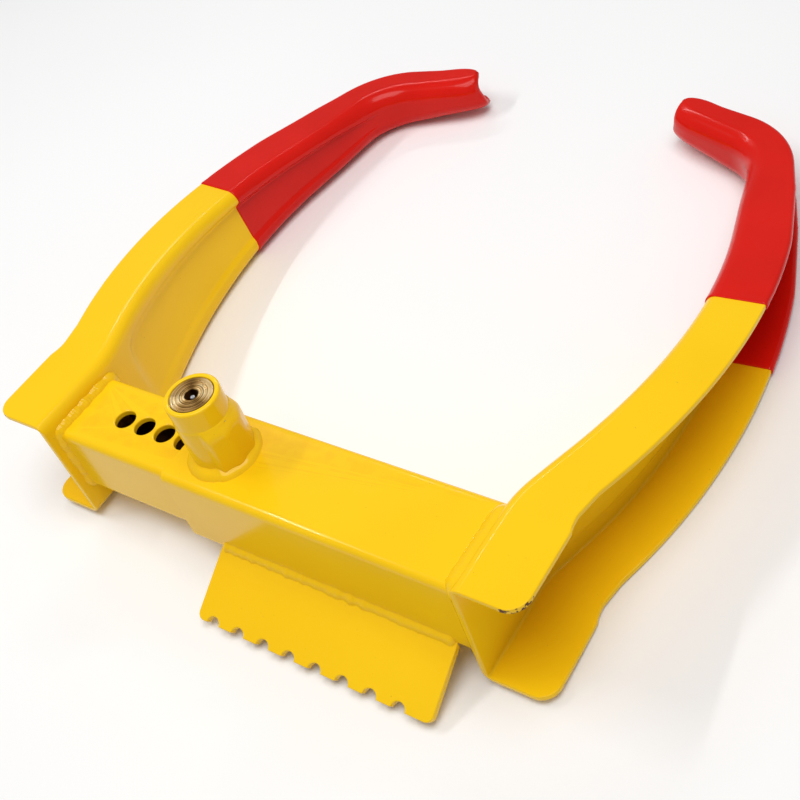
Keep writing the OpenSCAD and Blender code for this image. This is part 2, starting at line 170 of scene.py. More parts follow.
class Nodes:
    """Short ways to build one material's node tree."""

    def __init__(self, name):
        self.material = bpy.data.materials.new(name)
        self.material.use_nodes = True
        self.tree = self.material.node_tree
        self.shader = self.tree.nodes["Principled BSDF"]

    def add(self, kind, **inputs):
        node = self.tree.nodes.new("ShaderNode" + kind)
        for key, value in inputs.items():
            self.feed(node, key.replace("_", " "), value)
        return node

    def feed(self, node, key, value):
        """Links a socket's value, or sets a plain one."""
        socket = node.inputs[int(key)] if key.isdigit() else node.inputs[key]
        if isinstance(value, bpy.types.NodeSocket):
            self.tree.links.new(value, socket)
        else:
            socket.default_value = value

    def set(self, **inputs):
        for key, value in inputs.items():
            self.feed(self.shader, key.replace("_", " "), value)

    def noise(self, scale, detail=2.0, stretch=None, roughness=0.5):
        vector = self.tree.nodes.new("ShaderNodeTexCoord").outputs["Object"]
        if stretch:
            mapping = self.add("Mapping", Vector=vector, Scale=stretch)
            vector = mapping.outputs["Vector"]
        node = self.add("TexNoise", Vector=vector, Scale=scale, Detail=detail, Roughness=roughness)
        return node.outputs["Fac"]

    def ramp(self, fac, *stops):
        """Values or colours at places from 0 to 1 along fac."""
        node = self.add("ValToRGB", Fac=fac)
        ramp = node.color_ramp
        while len(ramp.elements) < len(stops):
            ramp.elements.new(0.5)
        for element, (at, value) in zip(ramp.elements, stops):
            element.position = at
            rgb = value if isinstance(value, tuple) else (value, value, value)
            element.color = (*rgb, 1)
        return node.outputs["Color"]

    def math(self, operation, a, b=0.0):
        node = self.add("Math")
        node.operation = operation
        self.feed(node, "0", a)
        self.feed(node, "1", b)
        return node.outputs["Value"]

    def mix(self, fac, a, b):
        node = self.add("Mix")
        node.data_type = "RGBA"
        for index, value in ((0, fac), (6, a), (7, b)):
            self.feed(node, str(index), (*value, 1) if isinstance(value, tuple) else value)
        return node.outputs[2]

    def bump(self, height, distance, strength=1.0, below=None):
        node = self.add("Bump", Height=height, Distance=distance, Strength=strength)
        if below is not None:
            self.feed(node, "Normal", below)
        return node.outputs["Normal"]


def yellow_paint():
    """Glossy powder coat: slight orange peel, a darker, oranger tone on convex edges where the paint is
    thinner and where shade is painted, dark brown where it is chipped off, and the same dark brown
    inside the tubes as painted shade.
    """
    n = Nodes("yellow_paint")
    tone = n.ramp(n.noise(14), (0.3, (0.93, 0.560, 0.006)), (0.7, (0.96, 0.595, 0.008)))
    # Convex edges, found by pointiness, get a darker, oranger tone: thinner paint there, and painted
    # shade.
    edge = n.ramp(n.add("NewGeometry").outputs["Pointiness"], (0.53, 0.0), (0.62, 1.0))
    thin_paint_and_shade = n.math("MULTIPLY", edge, n.ramp(n.noise(160, 3), (0.35, 0.1), (0.7, 0.5)))
    tone = n.mix(thin_paint_and_shade, tone, (0.86, 0.44, 0.006))
    # The attribute read here also covers the tubes' insides, where the dark brown is painted shade that
    # keeps the holes dark.
    wear_and_shade = n.add("Attribute")
    wear_and_shade.attribute_name = "wear_and_shade"
    chip_and_shade = n.math("ADD", wear_and_shade.outputs["Fac"], n.math("MULTIPLY", n.noise(420, 3), 0.9))
    chip_and_shade = n.ramp(chip_and_shade, (0.98, 0.0), (1.0, 1.0))
    speck = n.ramp(n.noise(900, 1), (0.79, 0.0), (0.81, 0.4))
    flaw_and_shade = n.math("MAXIMUM", chip_and_shade, speck)
    n.set(Base_Color=n.mix(flaw_and_shade, tone, (0.12, 0.045, 0.012)))
    gloss = n.ramp(n.noise(45, 4), (0.3, 0.17), (0.7, 0.21))
    n.set(Roughness=n.mix(flaw_and_shade, gloss, (0.7, 0.7, 0.7)))
    n.shader.inputs["Specular IOR Level"].default_value = 0.14
    n.shader.inputs["Coat Weight"].default_value = 0.12
    n.shader.inputs["Coat Roughness"].default_value = 0.03
    peel = n.bump(n.noise(260, 2), 0.00010, 0.25)
    n.set(Normal=n.bump(n.math("SUBTRACT", 1.0, flaw_and_shade), 0.0001, 0.6, peel))
    return n.material


def red_dip():
    """Thick glossy dip: slightly uneven colour, soft runs along the arm and tiny dark pits."""
    n = Nodes("red_dip")
    tone = n.ramp(n.noise(22, 3), (0.3, (0.62, 0.0085, 0.0035)), (0.7, (0.70, 0.010, 0.0045)))
    pit = n.ramp(n.noise(700, 1), (0.76, 0.0), (0.82, 0.5))
    n.set(Base_Color=n.mix(pit, tone, (0.34, 0.005, 0.002)))
    n.set(Roughness=n.ramp(n.noise(60, 4), (0.3, 0.16), (0.7, 0.22)))
    n.shader.inputs["Specular IOR Level"].default_value = 0.12
    n.shader.inputs["Coat Weight"].default_value = 0.15
    n.shader.inputs["Coat Roughness"].default_value = 0.03
    runs = n.bump(n.noise(30, 2, (1.0, 0.35, 1.0)), 0.0005, 0.25)
    n.set(Normal=n.bump(n.noise(320, 2), 0.00008, 0.2, runs))
    return n.material


def across_lock(n):
    """Distance from the lock's axis in metres, and the angle about it."""
    axis = (CLAMP.to_3x3() @ Vector((0, 0, 1))).normalized()
    centre = CLAMP @ (Vector((BARREL_X, 0, LOCK_FACE.z)) * MM)
    local = n.add("VectorMath")
    local.operation = "SUBTRACT"
    n.feed(local, "0", n.tree.nodes.new("ShaderNodeTexCoord").outputs["Object"])
    n.feed(local, "1", tuple(centre))
    turned = n.add("VectorRotate", Vector=local.outputs["Vector"])
    turned.rotation_type = "X_AXIS"
    n.feed(turned, "Angle", math.atan2(axis.y, axis.z))
    parts = n.add("SeparateXYZ", Vector=turned.outputs["Vector"])
    x, y = parts.outputs["X"], parts.outputs["Y"]
    squares = n.math("ADD", n.math("MULTIPLY", x, x), n.math("MULTIPLY", y, y))
    return n.math("SQRT", squares), n.math("ARCTAN2", y, x)


def brass():
    """Turned brass: rings of tool marks, lighter and darker sectors about the axis as a painted
    reflection, a dark line round the plug.
    """
    n = Nodes("brass")
    radius, angle = across_lock(n)
    # Painted reflection: lighter and darker sectors about the lock's axis stand in for the turned face's
    # highlights.
    wide = n.math("SINE", n.math("MULTIPLY", angle, 2.0))
    painted_reflection_fan = n.math("ADD", n.math("MULTIPLY", wide, 0.30), 0.5)
    narrow = n.math("SINE", n.math("MULTIPLY", angle, 5.0))
    painted_reflection_fan = n.math("ADD", painted_reflection_fan, n.math("MULTIPLY", narrow, 0.12))
    place = n.add("CombineXYZ", X=n.math("MULTIPLY", radius, 1000.0))
    rings = n.add("TexNoise", Vector=place.outputs["Vector"], Scale=1.3, Detail=2.0).outputs["Fac"]
    light = n.math("ADD", n.math("MULTIPLY", rings, 0.75), n.math("MULTIPLY", painted_reflection_fan, 0.4))
    tone = n.ramp(
        light,
        (0.40, (0.14, 0.065, 0.015)),
        (0.56, (0.52, 0.29, 0.08)),
        (0.78, (0.95, 0.74, 0.40)),
    )
    plug_line = n.ramp(
        n.math("DIVIDE", radius, 2 * PLUG_R * MM), (0.475, 0.0), (0.502, 1.0), (0.53, 0.0)
    )
    n.set(Base_Color=n.mix(plug_line, tone, (0.035, 0.018, 0.006)))
    n.set(Metallic=1.0, Roughness=n.ramp(n.noise(500, 3), (0.3, 0.26), (0.7, 0.38)))
    n.set(Normal=n.bump(rings, 0.00025, 0.7))
    return n.material


def metal(name, dark, light, rough, scratch):
    """Bare metal with fine scratches along one way and a little uneven polish."""
    n = Nodes(name)
    n.set(Base_Color=n.ramp(n.noise(140, 4), (0.3, dark), (0.7, light)), Metallic=1.0)
    n.set(Roughness=n.ramp(n.noise(320, 3), (0.3, rough), (0.7, rough + 0.16)))
    n.set(Normal=n.bump(n.noise(900, 2, scratch), 0.00008, 0.5))
    return n.material


def pale_floor():
    n = Nodes("pale_floor")
    n.set(Base_Color=n.ramp(n.noise(3), (0.3, (0.93, 0.93, 0.93)), (0.7, (0.945, 0.945, 0.945))))
    n.set(Roughness=n.ramp(n.noise(9), (0.3, 0.75), (0.7, 0.9)))
    n.shader.inputs["Specular IOR Level"].default_value = 0.2
    return n.material


MATERIALS = {
    "yellow_paint": yellow_paint(),
    "red_dip": red_dip(),
    "brass": brass(),
    "steel": metal("steel", (0.50, 0.51, 0.53), (0.72, 0.73, 0.75), 0.20, (1, 1, 0.1)),
    "hardened_steel": metal(
        "hardened_steel", (0.22, 0.22, 0.24), (0.42, 0.43, 0.45), 0.28, (1, 0.1, 1)
    ),
    "spring_steel": metal(
        "spring_steel", (0.20, 0.20, 0.22), (0.38, 0.39, 0.41), 0.30, (0.2, 1, 1)
    ),
}

# ---- making pieces --------------------------------------------------------------------------


def piece(name, body, slot, replaced, points, faces, wear_and_shade=None):
    """A mesh piece from points in the clamp's frame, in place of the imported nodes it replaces."""
    mesh = bpy.data.meshes.new(name)
    mesh.from_pydata([CLAMP @ (Vector(p) * MM) for p in points], [], faces)
    mesh.materials.append(MATERIALS[slot])
    # This layer carries real wear at the flange corners and painted shade inside the tubes.
    if wear_and_shade:
        wear_and_shade_layer = mesh.attributes.new("wear_and_shade", "FLOAT", "POINT")
        wear_and_shade_layer.data.foreach_set("value", [wear_and_shade(Vector(p)) for p in points])
    obj = bpy.data.objects.new(name, mesh)
    bpy.context.scene.collection.objects.link(obj)
    tidy_mesh(mesh)
    mesh.shade_smooth()
    mesh.set_sharp_from_angle(angle=math.radians(SHARP_FROM))
    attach(obj, body)
    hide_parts(*replaced)
    return obj


def tidy_mesh(mesh):
    """Welds doubled points and turns every face outwards."""
    bm = bmesh.new()
    bm.from_mesh(mesh)
    bmesh.ops.remove_doubles(bm, verts=bm.verts, dist=2e-6)
    bmesh.ops.dissolve_degenerate(bm, edges=bm.edges, dist=1e-6)
    bmesh.ops.recalc_face_normals(bm, faces=bm.faces)
    bm.to_mesh(mesh)
    bm.free()


def even_normals(obj):
    """Lets large flat faces keep flat shading beside small rounded ones."""
    modifier = obj.modifiers.new("even_normals", "WEIGHTED_NORMAL")
    modifier.keep_sharp = True
    modifier.weight = 100


def ring_faces(count, rings, closed=False):
    """Faces between rings of count points each; closed joins the last ring to the first."""
    faces = []
    for k in range(rings if closed else rings - 1):
        a = k * count
        b = (k + 1) % rings * count
        for i in range(count):
            j = (i + 1) % count
            faces.append((a + i, a + j, b + j, b + i))
    return faces


# ---- tubes ----------------------------------------------------------------------------------


def rounded_square(size, r, steps=8):
    """Points (y, z) round a square with rounded corners, each with its outward direction."""
    half = size / 2 - r
    outline = []
    for quarter in range(4):
        corner_y = half * (1 if quarter in (0, 3) else -1)
        corner_z = half * (1 if quarter in (0, 1) else -1)
        for i in range(steps + 1):
            a = 90 * (quarter + i / steps)
            outline.append((corner_y + r * cos(a), corner_z + r * sin(a), cos(a), sin(a)))
    return outline


def square_tube(x0, x1, size):
    """A closed square tube along X with rounded rims at both ends."""
    rim = TUBE_RIM
    stations = [(x0 + rim * (1 - cos(a)), rim * (1 - sin(a)), "out") for a in ROUND_ANGLES]
    stations += [(x1 - rim * (1 - cos(a)), rim * (1 - sin(a)), "out") for a in ROUND_ANGLES[::-1]]
    stations += [(x1 - rim * (1 - cos(a)), rim * (1 - sin(a)), "in") for a in ROUND_ANGLES]
    stations += [(x0 + rim * (1 - cos(a)), rim * (1 - sin(a)), "in") for a in ROUND_ANGLES[::-1]]
    outer = rounded_square(size, TUBE_CORNER)
    inner = rounded_square(size - 2 * TUBE_WALL, TUBE_CORNER - TUBE_WALL / 2)
    points = []
    for x, inset, side in stations:
        shape, way = (outer, -1) if side == "out" else (inner, 1)
        points += [(x, y + way * inset * ny, z + way * inset * nz) for y, z, ny, nz in shape]
    return points, ring_faces(len(outer), len(stations), closed=True)


def drill(obj, places, top):
    """Cuts round holes with rounded rims down through a tube's top, at places along it."""
    r, flare = HOLE_R, HOLE_FLARE
    bottom = top - (TUBE_WALL + 2)
    profile = [(0, top + 1), (r + flare + 0.6, top + 1)]
    profile += [(r + flare - flare * sin(a), top - flare + flare * cos(a)) for a in ROUND_ANGLES]
    profile += [(r, bottom), (0, bottom)]
    turned, faces = lathe(profile, DRILL_STEPS)
    cutters = [([(x + px, py, pz) for px, py, pz in turned], faces) for x in places]
    points, all_faces = joined(cutters)
    mesh = bpy.data.meshes.new("drill")
    mesh.from_pydata([CLAMP @ (Vector(p) * MM) for p in points], [], all_faces)
    tidy_mesh(mesh)
    cutter = bpy.data.objects.new("drill", mesh)
    bpy.context.scene.collection.objects.link(cutter)
    cut = obj.modifiers.new("holes", "BOOLEAN")
    cut.operation = "DIFFERENCE"
    cut.solver = "EXACT"
    cut.object = cutter
    with bpy.context.temp_override(object=obj, active_object=obj):
        bpy.ops.object.modifier_apply(modifier=cut.name)
    bpy.data.objects.remove(cutter)
    flatten_walls(obj.data)


# A face's normal counts as square to the clamp's frame above this share along one axis.
SQUARE_ON = 0.9995


def flatten_walls(mesh):
    """Flat shading on the straight walls that the holes are cut in."""
    to_clamp = CLAMP.to_3x3().inverted()
    for face in mesh.polygons:
        normal = to_clamp @ face.normal
        if max(abs(normal.x), abs(normal.y), abs(normal.z)) > SQUARE_ON:
            face.use_smooth = False


def lathe(profile, steps):
    """Points and faces of a (radius, height) profile turned about Z."""
    points = []
    for r, z in profile:
        for i in range(steps):
            a = 360 * i / steps
            points.append((r * cos(a), r * sin(a), z))
    return points, ring_faces(steps, len(profile))


def bare_inside(size):
    """The powder coat does not reach inside the tubes: their inner surfaces get the full dark brown of
    the chipped paint, which is also painted shade that keeps the holes dark.
    """
    inside = size / 2 - TUBE_WALL + 0.1
    return lambda point: 1.0 if max(abs(point.y), abs(point.z)) < inside else 0.0


def tubes():
    points, faces = square_tube(OUTER_TUBE_X, 0, OUTER_TUBE)
    outer = piece("outer_tube_body", "fixed_side", "yellow_paint", ["outer_tube"], points, faces,
                  wear_and_shade=bare_inside(OUTER_TUBE))
    drill(outer, [BARREL_X], TUBE_TOP)
    even_normals(outer)
    points, faces = square_tube(LEFT_FACE_X, INNER_TUBE_X, INNER_TUBE)
    inner = piece("inner_tube_body", "sliding_side", "yellow_paint", ["inner_tube"], points, faces,
                  wear_and_shade=bare_inside(INNER_TUBE))
    places = [BARREL_X - i * HOLE_PITCH for i in HOLES]
    drill(inner, places, INNER_TUBE / 2)
    even_normals(inner)


# ---- pressed arms ---------------------------------------------------------------------------

# The web's path in plan: (length, turn). A positive turn bends towards the tyre.
ARM_FRONT_Y = -28.5
STRETCHES = (
    (44.5, 0), (21.6, -20), (20, 0), (118, 23.7), (56, 11.3), (53.5, 0), (32, 55), (30, 0)
)
HOOK_START = sum(length for length, turn in STRETCHES)
HOOK_END_LEN = 16.0
WEB_END_INSET = 4.5
EDGE_END_INSET = 6.0
HOOK_LEAN = 3.0
ARM_END = HOOK_START + HOOK_END_LEN
CORNER_R = 10.0
COATING_FROM = 204.0
COATING_LIP = 0.02
COATING_TIP_R = 1.6
# How the coating's thickness builds up: (distance from its start, share of the full thickness).
COATING_START = ((0.0, 0.12), (0.05, 0.55), (0.3, 0.85), (0.8, 1.0), (2.0, 0.97), (5.0, 0.85))
FLANGE_WIDTHS = (
    (0, 36), (45, 36), (80, 31), (250, 30), (296, 27), (317, 24), (345, 21.6), (367, 19.6)
)
GROOVE_DEPTHS = ((0, 3.4), (86, 3.6), (200, 5.5), (290, 4), (325, 0))
GROOVE_START = 68.0
GROOVE_STEEP_TO = 0.2
GROOVE_RIDGE_FROM = 0.8
GROOVE_RIDGE = 0.38

# Places down the web, from 0 under the top bend to 1 over the bottom one, where the section
# has points: closer where the groove turns.
GROOVE_ROWS = (0.01, 0.04, 0.08, 0.12, 0.16, 0.185, 0.2, 0.215, 0.25, 0.35, 0.5, 0.65, 0.75,
               0.785, 0.8, 0.815, 0.84, 0.86, 0.88, 0.9, 0.92, 0.96, 0.99)

# Heights of the flanges at the tubes and at the hook, and where along Y they taper.
BASE_TOP, TIP_TOP = 33, 15
BASE_BOTTOM, TIP_BOTTOM = -41, -14
TOP_TAPER_FROM, TOP_TAPER_LEN = 40, 270
BOTTOM_TAPER_FROM, BOTTOM_TAPER_LEN = -10, 320

# Places along the arm where the hook's bottom flange rises and its bends open out.
HOOK_RISE, HOOK_RISE_FROM, HOOK_RISE_LEN = 6, 326, 65
BENDS_OPEN_FROM, BENDS_OPEN_LEN = 280, 40
ARM_STEP = 2.6


def path_at(s):
    """(x, y, heading) of the web's path at a distance along it."""
    x, y, heading = 0.0, ARM_FRONT_Y, 0.0
    for length, turn in STRETCHES + ((1000, 0),):
        part = min(length, s)
        if turn:
            r = length / math.radians(turn)
            after = heading + turn * part / length
            x += r * (cos(after) - cos(heading))
            y += r * (sin(after) - sin(heading))
            heading = after
        else:
            x -= part * sin(heading)
            y += part * cos(heading)
        s -= part
        if s <= 0:
            return x, y, heading


def flange_heights(s, y):
    """Heights of the top and bottom flanges: they taper along Y, and the hook's bottom rises."""
    top_taper = smooth((y - TOP_TAPER_FROM) / TOP_TAPER_LEN)
    bottom_taper = smooth((y - BOTTOM_TAPER_FROM) / BOTTOM_TAPER_LEN)
    rise = HOOK_RISE * smooth((s - HOOK_RISE_FROM) / HOOK_RISE_LEN)
    top = BASE_TOP + (TIP_TOP - BASE_TOP) * top_taper
    bottom = BASE_BOTTOM + (TIP_BOTTOM - BASE_BOTTOM) * bottom_taper + rise
    return top, bottom


def bend_radius(s):
    """The bends between web and flanges open out towards the hooked end."""
    return BEND_R + (HOOK_BEND_R - BEND_R) * smooth((s - BENDS_OPEN_FROM) / BENDS_OPEN_LEN)


def hook_round(s):
    """How far the end of the hook is rounded off, from 0 to 1, at a distance along the arm."""
    t = min(1.0, max(0.0, (s - HOOK_START) / HOOK_END_LEN))
    return 1 - math.sqrt(1 - t * t)


def flange_width(s):
    """Width of a flange at a distance along the arm, with its front corner rounded."""
    corner = 0.0
    if s < CORNER_R:
        corner = CORNER_R - math.sqrt(CORNER_R**2 - (CORNER_R - s) ** 2)
    return between(FLANGE_WIDTHS, s) - corner - EDGE_END_INSET * hook_round(s)


def groove(s, t):
    """The web's pressed groove: steep under the top bend, then sloping back to a low ridge."""
    start = GROOVE_START + 9 * abs(2 * t - 1) ** 3
    depth = between(GROOVE_DEPTHS, s) * smooth((s - start) / 11)
    if t < GROOVE_STEEP_TO:
        return depth * smooth(t / GROOVE_STEEP_TO)
    if t < GROOVE_RIDGE_FROM:
        down = (t - GROOVE_STEEP_TO) / (GROOVE_RIDGE_FROM - GROOVE_STEEP_TO)
        return depth * (1 - (1 - GROOVE_RIDGE) * down)
    return depth * GROOVE_RIDGE * (1 - smooth((t - GROOVE_RIDGE_FROM) / 0.12))


def channel_ring(s, grow, shrink, edge_r):
    """A closed ring of the channel's section at s, thickened by grow and thinned by shrink."""
    x, y, heading = path_at(s)
    s = min(s, ARM_END)
    top, bottom = flange_heights(s, y)
    out = grow - shrink
    thick = SHEET + 2 * out
    web = WEB_END_INSET * hook_round(s)
    edge = flange_width(s) + out
    bend = bend_radius(s)
    high, low = top - bend, bottom + bend
    round_r = min(edge_r, 0.48 * thick)
    flat_end = edge - round_r - 0.1
    skins = []
    for offset, r in ((out, bend + out), (out - thick, bend - BEND_R + INNER_BEND_R)):
        centre = web - offset + r
        flat = [flat_end, (flat_end + centre + 0.1) / 2, centre + 0.1]
        skin = [(u, top + offset) for u in flat]
        skin += [(centre + r * cos(a), top + offset - r + r * sin(a)) for a in spread(90, 180, 9)]
        skin += [(web - offset + groove(s, t), high + (low - high) * t) for t in GROOVE_ROWS]
        skin += [(centre + r * cos(a), bottom - offset + r + r * sin(a)) for a in spread(180, 270, 9)]
        skin += [(u, bottom - offset) for u in flat[::-1]]
        skins.append(skin)
    centre = edge - round_r

    def lip(z_outer, way):
        """The free edge's two rounded corners, from the outer skin to the inner one."""
        near = [(centre + round_r * cos(a), z_outer - way * (round_r - round_r * sin(a)))
                for a in ROUND_ANGLES[::-1]]
        far = [(centre + round_r * cos(a), z_outer - way * (thick - round_r + round_r * sin(a)))
               for a in ROUND_ANGLES]
        return near + far

    ring = skins[0] + lip(bottom - out, -1) + skins[1][::-1] + lip(top + out, 1)[::-1]
    placed = []
    for u, z in ring:
        lean = HOOK_LEAN * hook_round(s) * smooth(2 * (top - z) / (top - bottom) - 0.6)
        placed.append((
            x + u * cos(heading) - lean * sin(heading),
            y + u * sin(heading) + lean * cos(heading),
            z,
        ))
    return placed


def end_cap(first, count):
    """Closes a channel ring with a strip of faces between its outer and inner skins."""
    skin = (count - 16) // 2
    outer = list(range(first, first + skin))
    inner = list(range(first + count - 8 - 1, first + skin + 8 - 1, -1))
    lips = [list(range(first + skin, first + skin + 8)), list(range(first + count - 8, first + count))]
    faces = [(outer[i], outer[i + 1], inner[i + 1], inner[i]) for i in range(skin - 1)]
    faces.append([outer[-1]] + lips[0] + [inner[-1]])
    faces.append([inner[0]] + lips[1] + [outer[0]])
    return faces


def arm_distances(start, end, step):
    """Places along the arm: evenly spaced, and closer where its ends are rounded."""
    places = set(spread(start, min(end, HOOK_START), int((min(end, HOOK_START) - start) / step)))
    if start < CORNER_R:
        places |= {CORNER_R * (1 - cos(a)) for a in spread(15, 90, 10)}
    places |= {HOOK_START + HOOK_END_LEN * sin(a) for a in spread(5, 80, 12)}
    return sorted(s for s in places if start <= s <= end)


def mirrored(points):
    """The left side is the right side's mirror image."""
    return [(LEFT_FACE_X - x, y, z) for x, y, z in points]


def arm_mesh():
    """The whole pressed arm: rounded front edge, sweep, rounded hook end."""
    stations = [(EDGE_R * (1 - cos(a)), EDGE_R * (1 - sin(a))) for a in ROUND_ANGLES]
    stations += [(s, 0) for s in arm_distances(EDGE_R + 0.3, ARM_END - EDGE_R - 0.1, ARM_STEP)]
    stations += [(ARM_END - EDGE_R * (1 - cos(a)), EDGE_R * (1 - sin(a)))
                 for a in ROUND_ANGLES[::-1]]
    rings = [channel_ring(s, 0, shrink, EDGE_R) for s, shrink in stations]
    count = len(rings[0])
    points = [p for ring in rings for p in ring]
    faces = ring_faces(count, len(rings))
    faces += end_cap(0, count) + end_cap((len(rings) - 1) * count, count)
    return points, faces


def coating_mesh():
    """The dipped skin: a rounded lip where it starts, and an outer and an inner surface."""
    full = COATING + COATING_LIP
    stations = [(COATING_FROM + d, full * share, 0) for d, share in COATING_START]
    stations += [(s, COATING, 0) for s in arm_distances(COATING_FROM + 9, ARM_END - 0.6, ARM_STEP)]
    tip = ARM_END + COATING
    round_r = COATING_TIP_R
    stations += [(tip - round_r * (1 - cos(a)), COATING, round_r * (1 - sin(a)))
                 for a in ROUND_ANGLES[::-1]]
    outer = [channel_ring(s, grow, shrink, 2.0) for s, grow, shrink in stations]
    skin = [channel_ring(s, 0, 0, EDGE_R) for s, grow, shrink in stations if s <= ARM_END - 0.6]
    skin.append(channel_ring(ARM_END, 0, 0, EDGE_R))
    rings = outer + skin[::-1]
    count = len(rings[0])
    points = [p for ring in rings for p in ring]
    faces = ring_faces(count, len(outer))
    inner = ring_faces(count, len(skin))
    shift = len(outer) * count
    faces += [tuple(i + shift for i in face) for face in inner]
    last = (len(rings) - 1) * count
    faces += [(i, (i + 1) % count, last + (i + 1) % count, last + i) for i in range(count)]
    faces += end_cap((len(outer) - 1) * count, count) + end_cap(shift, count)
    return points, faces


# How worn the corners are, and how far in from the sheet's edge.
CHIP_WEAR = 0.5
CHIP_REACH = 0.5


def worn_corners(point):
    """Chips gather on the sheet's edge round the front corner of each top flange."""
    x = abs(point.x - LEFT_FACE_X / 2) + LEFT_FACE_X / 2
    across = x - (FLANGE_WIDTHS[0][1] - CORNER_R)
    along = ARM_FRONT_Y + CORNER_R - point.y
    if point.z < 0 or across < -4 or along < -4:
        return 0.0
    reach = math.hypot(max(0.0, across), max(0.0, along))
    return CHIP_WEAR * smooth((reach - CORNER_R + CHIP_REACH) / 0.4)


def arms():
    points, faces = arm_mesh()
    coat_points, coat_faces = coating_mesh()
    for side, body, place in (
        ("right", "fixed_side", list), ("left", "sliding_side", mirrored)
    ):
        piece(f"{side}_arm_pressing", body, "yellow_paint", [f"{side}_arm"],
              place(points), faces, wear_and_shade=worn_corners)
        piece(f"{side}_arm_dip", body, "red_dip", [f"{side}_arm_coating"],
              place(coat_points), coat_faces)


# ---- weld beads -----------------------------------------------------------------------------


BEAD_STEP = 0.5
RIPPLE_PITCH = 1.9
LUMP_LEN = 4.5
BULGE_LEN = 2.2
BEAD_POINTS = 8


def bead(path, seed, ripple, lumps, closed=False):
    """A weld bead along a corner. The path's stations are (corner, one way, other way, width)."""
    lengths = [0.0]
    for k in range(1, len(path)):
        lengths.append(lengths[-1] + (path[k][0] - path[k - 1][0]).length)
    rings = []
    for along, (corner, one, other, width) in zip(lengths, path):
        size = width * (1 + ripple * math.sin(along * 2 * math.pi / RIPPLE_PITCH))
        size *= 1 + lumps * noise.noise(Vector((along / LUMP_LEN, seed, 0)))
        if not closed:
            end = min(along, lengths[-1] - along) / width
            size *= math.sqrt(1 - (1 - min(1.0, end)) ** 2) * 0.96 + 0.04
        span = one.angle(other)
        ring = [corner - (one + other) * 0.15]
        for i in range(BEAD_POINTS + 1):
            t = i / BEAD_POINTS
            way = (one * math.sin((1 - t) * span) + other * math.sin(t * span)) / math.sin(span)
            flat = math.cos(span / 2) / math.cos((t - 0.5) * span)
            bulge = noise.noise(Vector((along / BULGE_LEN, t * 2, seed)))
            bulge *= 3 * ripple * math.sin(math.pi * t)
            ring.append(corner + way * size * (0.55 * flat + 0.45 + bulge))
        rings.append(ring)
    count = len(rings[0])
    faces = ring_faces(count, len(rings), closed)
    if not closed:
        faces.append(tuple(range(count)))
        faces.append(tuple(range((len(rings) - 1) * count, len(rings) * count)))
    return [p for ring in rings for p in ring], faces


def straight(start, end, one, other, width):
    """A straight run of evenly spaced bead stations."""
    count = int((end - start).length / BEAD_STEP)
    return [(start.lerp(end, i / count), one, other, width) for i in range(count + 1)]


def joined(parts):
    """Several closed meshes in one."""
    points, faces = [], []
    for more_points, more_faces in parts:
        faces += [tuple(i + len(points) for i in face) for face in more_faces]
        points += more_points
    return points, faces


def round_tube(size, x, along, width, first=0.0, last=360.0, top_fillet=0.0):
    """Bead stations round a tube where it meets an arm, from angle first to angle last.

    top_fillet widens the bead on top of the tube, by that share, so that it laps onto the
    arm's bend.
    """
    outline = rounded_square(size, TUBE_CORNER, 10)
    stations = []
    for k, (y, z, ny, nz) in enumerate(outline):
        y2, z2, ny2, nz2 = outline[(k + 1) % len(outline)]
        gap = math.hypot(y2 - y, z2 - z)
        parts = max(1, int(gap / BEAD_STEP))
        for i in range(parts):
            t = i / parts
            normal = Vector((0, ny + (ny2 - ny) * t, nz + (nz2 - nz) * t)).normalized()
            spot = Vector((x, y + (y2 - y) * t, z + (z2 - z) * t))
            angle = math.degrees(math.atan2(spot.z, spot.y)) % 360
            if first <= angle <= last:
                over_top = top_fillet * max(0.0, normal.z)
                reach = width * (1 + over_top - 0.3 * max(0.0, -normal.y))
                onto_bend = Vector((-along * 0.7 * over_top, 0, 0))
                way = (normal + onto_bend).normalized()
                stations.append((spot, way, Vector((along, 0, 0)), reach))
    return stations


def welds():
    inner = round_tube(INNER_TUBE, LEFT_FACE_X, 1, 3.3)
    points, faces = bead(inner, 3.7, ripple=0.03, lumps=0.4, closed=True)
    piece("left_arm_bead", "sliding_side", "yellow_paint", ["left_arm_weld"], points, faces)
    outer = round_tube(OUTER_TUBE, 0, -1, 4.0, 48, 312, top_fillet=0.6)
    points, faces = bead(outer, 8.1, ripple=0.005, lumps=0.06)
    piece("right_arm_bead", "fixed_side", "yellow_paint", ["right_arm_weld"], points, faces)
    corner_y = -OUTER_TUBE / 2
    down = Vector((0, -cos(PLATE_SLOPE), -sin(PLATE_SLOPE)))
    left = Vector((PLATE_RIGHT_X - PLATE_LEN + 1, corner_y, PLATE_TOP_Z))
    right = Vector((PLATE_RIGHT_X - 1, corner_y, PLATE_TOP_Z))
    run = straight(left, right, Vector((0, 0, 1)), down, 3.0)
    points, faces = bead(run, 5.2, ripple=0.02, lumps=0.35)
    piece("chock_plate_bead", "fixed_side", "yellow_paint", ["chock_plate_weld"], points, faces)


# ---- chock plate ----------------------------------------------------------------------------


def plate_outline():
    """(along, up the slope) points round the plate, from its left end, teeth first."""
    r = PLATE_CORNER
    outline = [(r - r * cos(a), r - r * sin(a)) for a in spread(0, 90, 7)]
    for i in range(NOTCHES):
        centre = FIRST_NOTCH + i * NOTCH_PITCH
        outline += [(centre - NOTCH_R * cos(a), NOTCH_R * sin(a)) for a in spread(0, 180, 15)]
    outline += [(PLATE_LEN - r + r * sin(a), r - r * cos(a)) for a in spread(0, 90, 7)]
    outline += [(PLATE_LEN, PLATE_DEPTH), (0, PLATE_DEPTH)]
    return outline


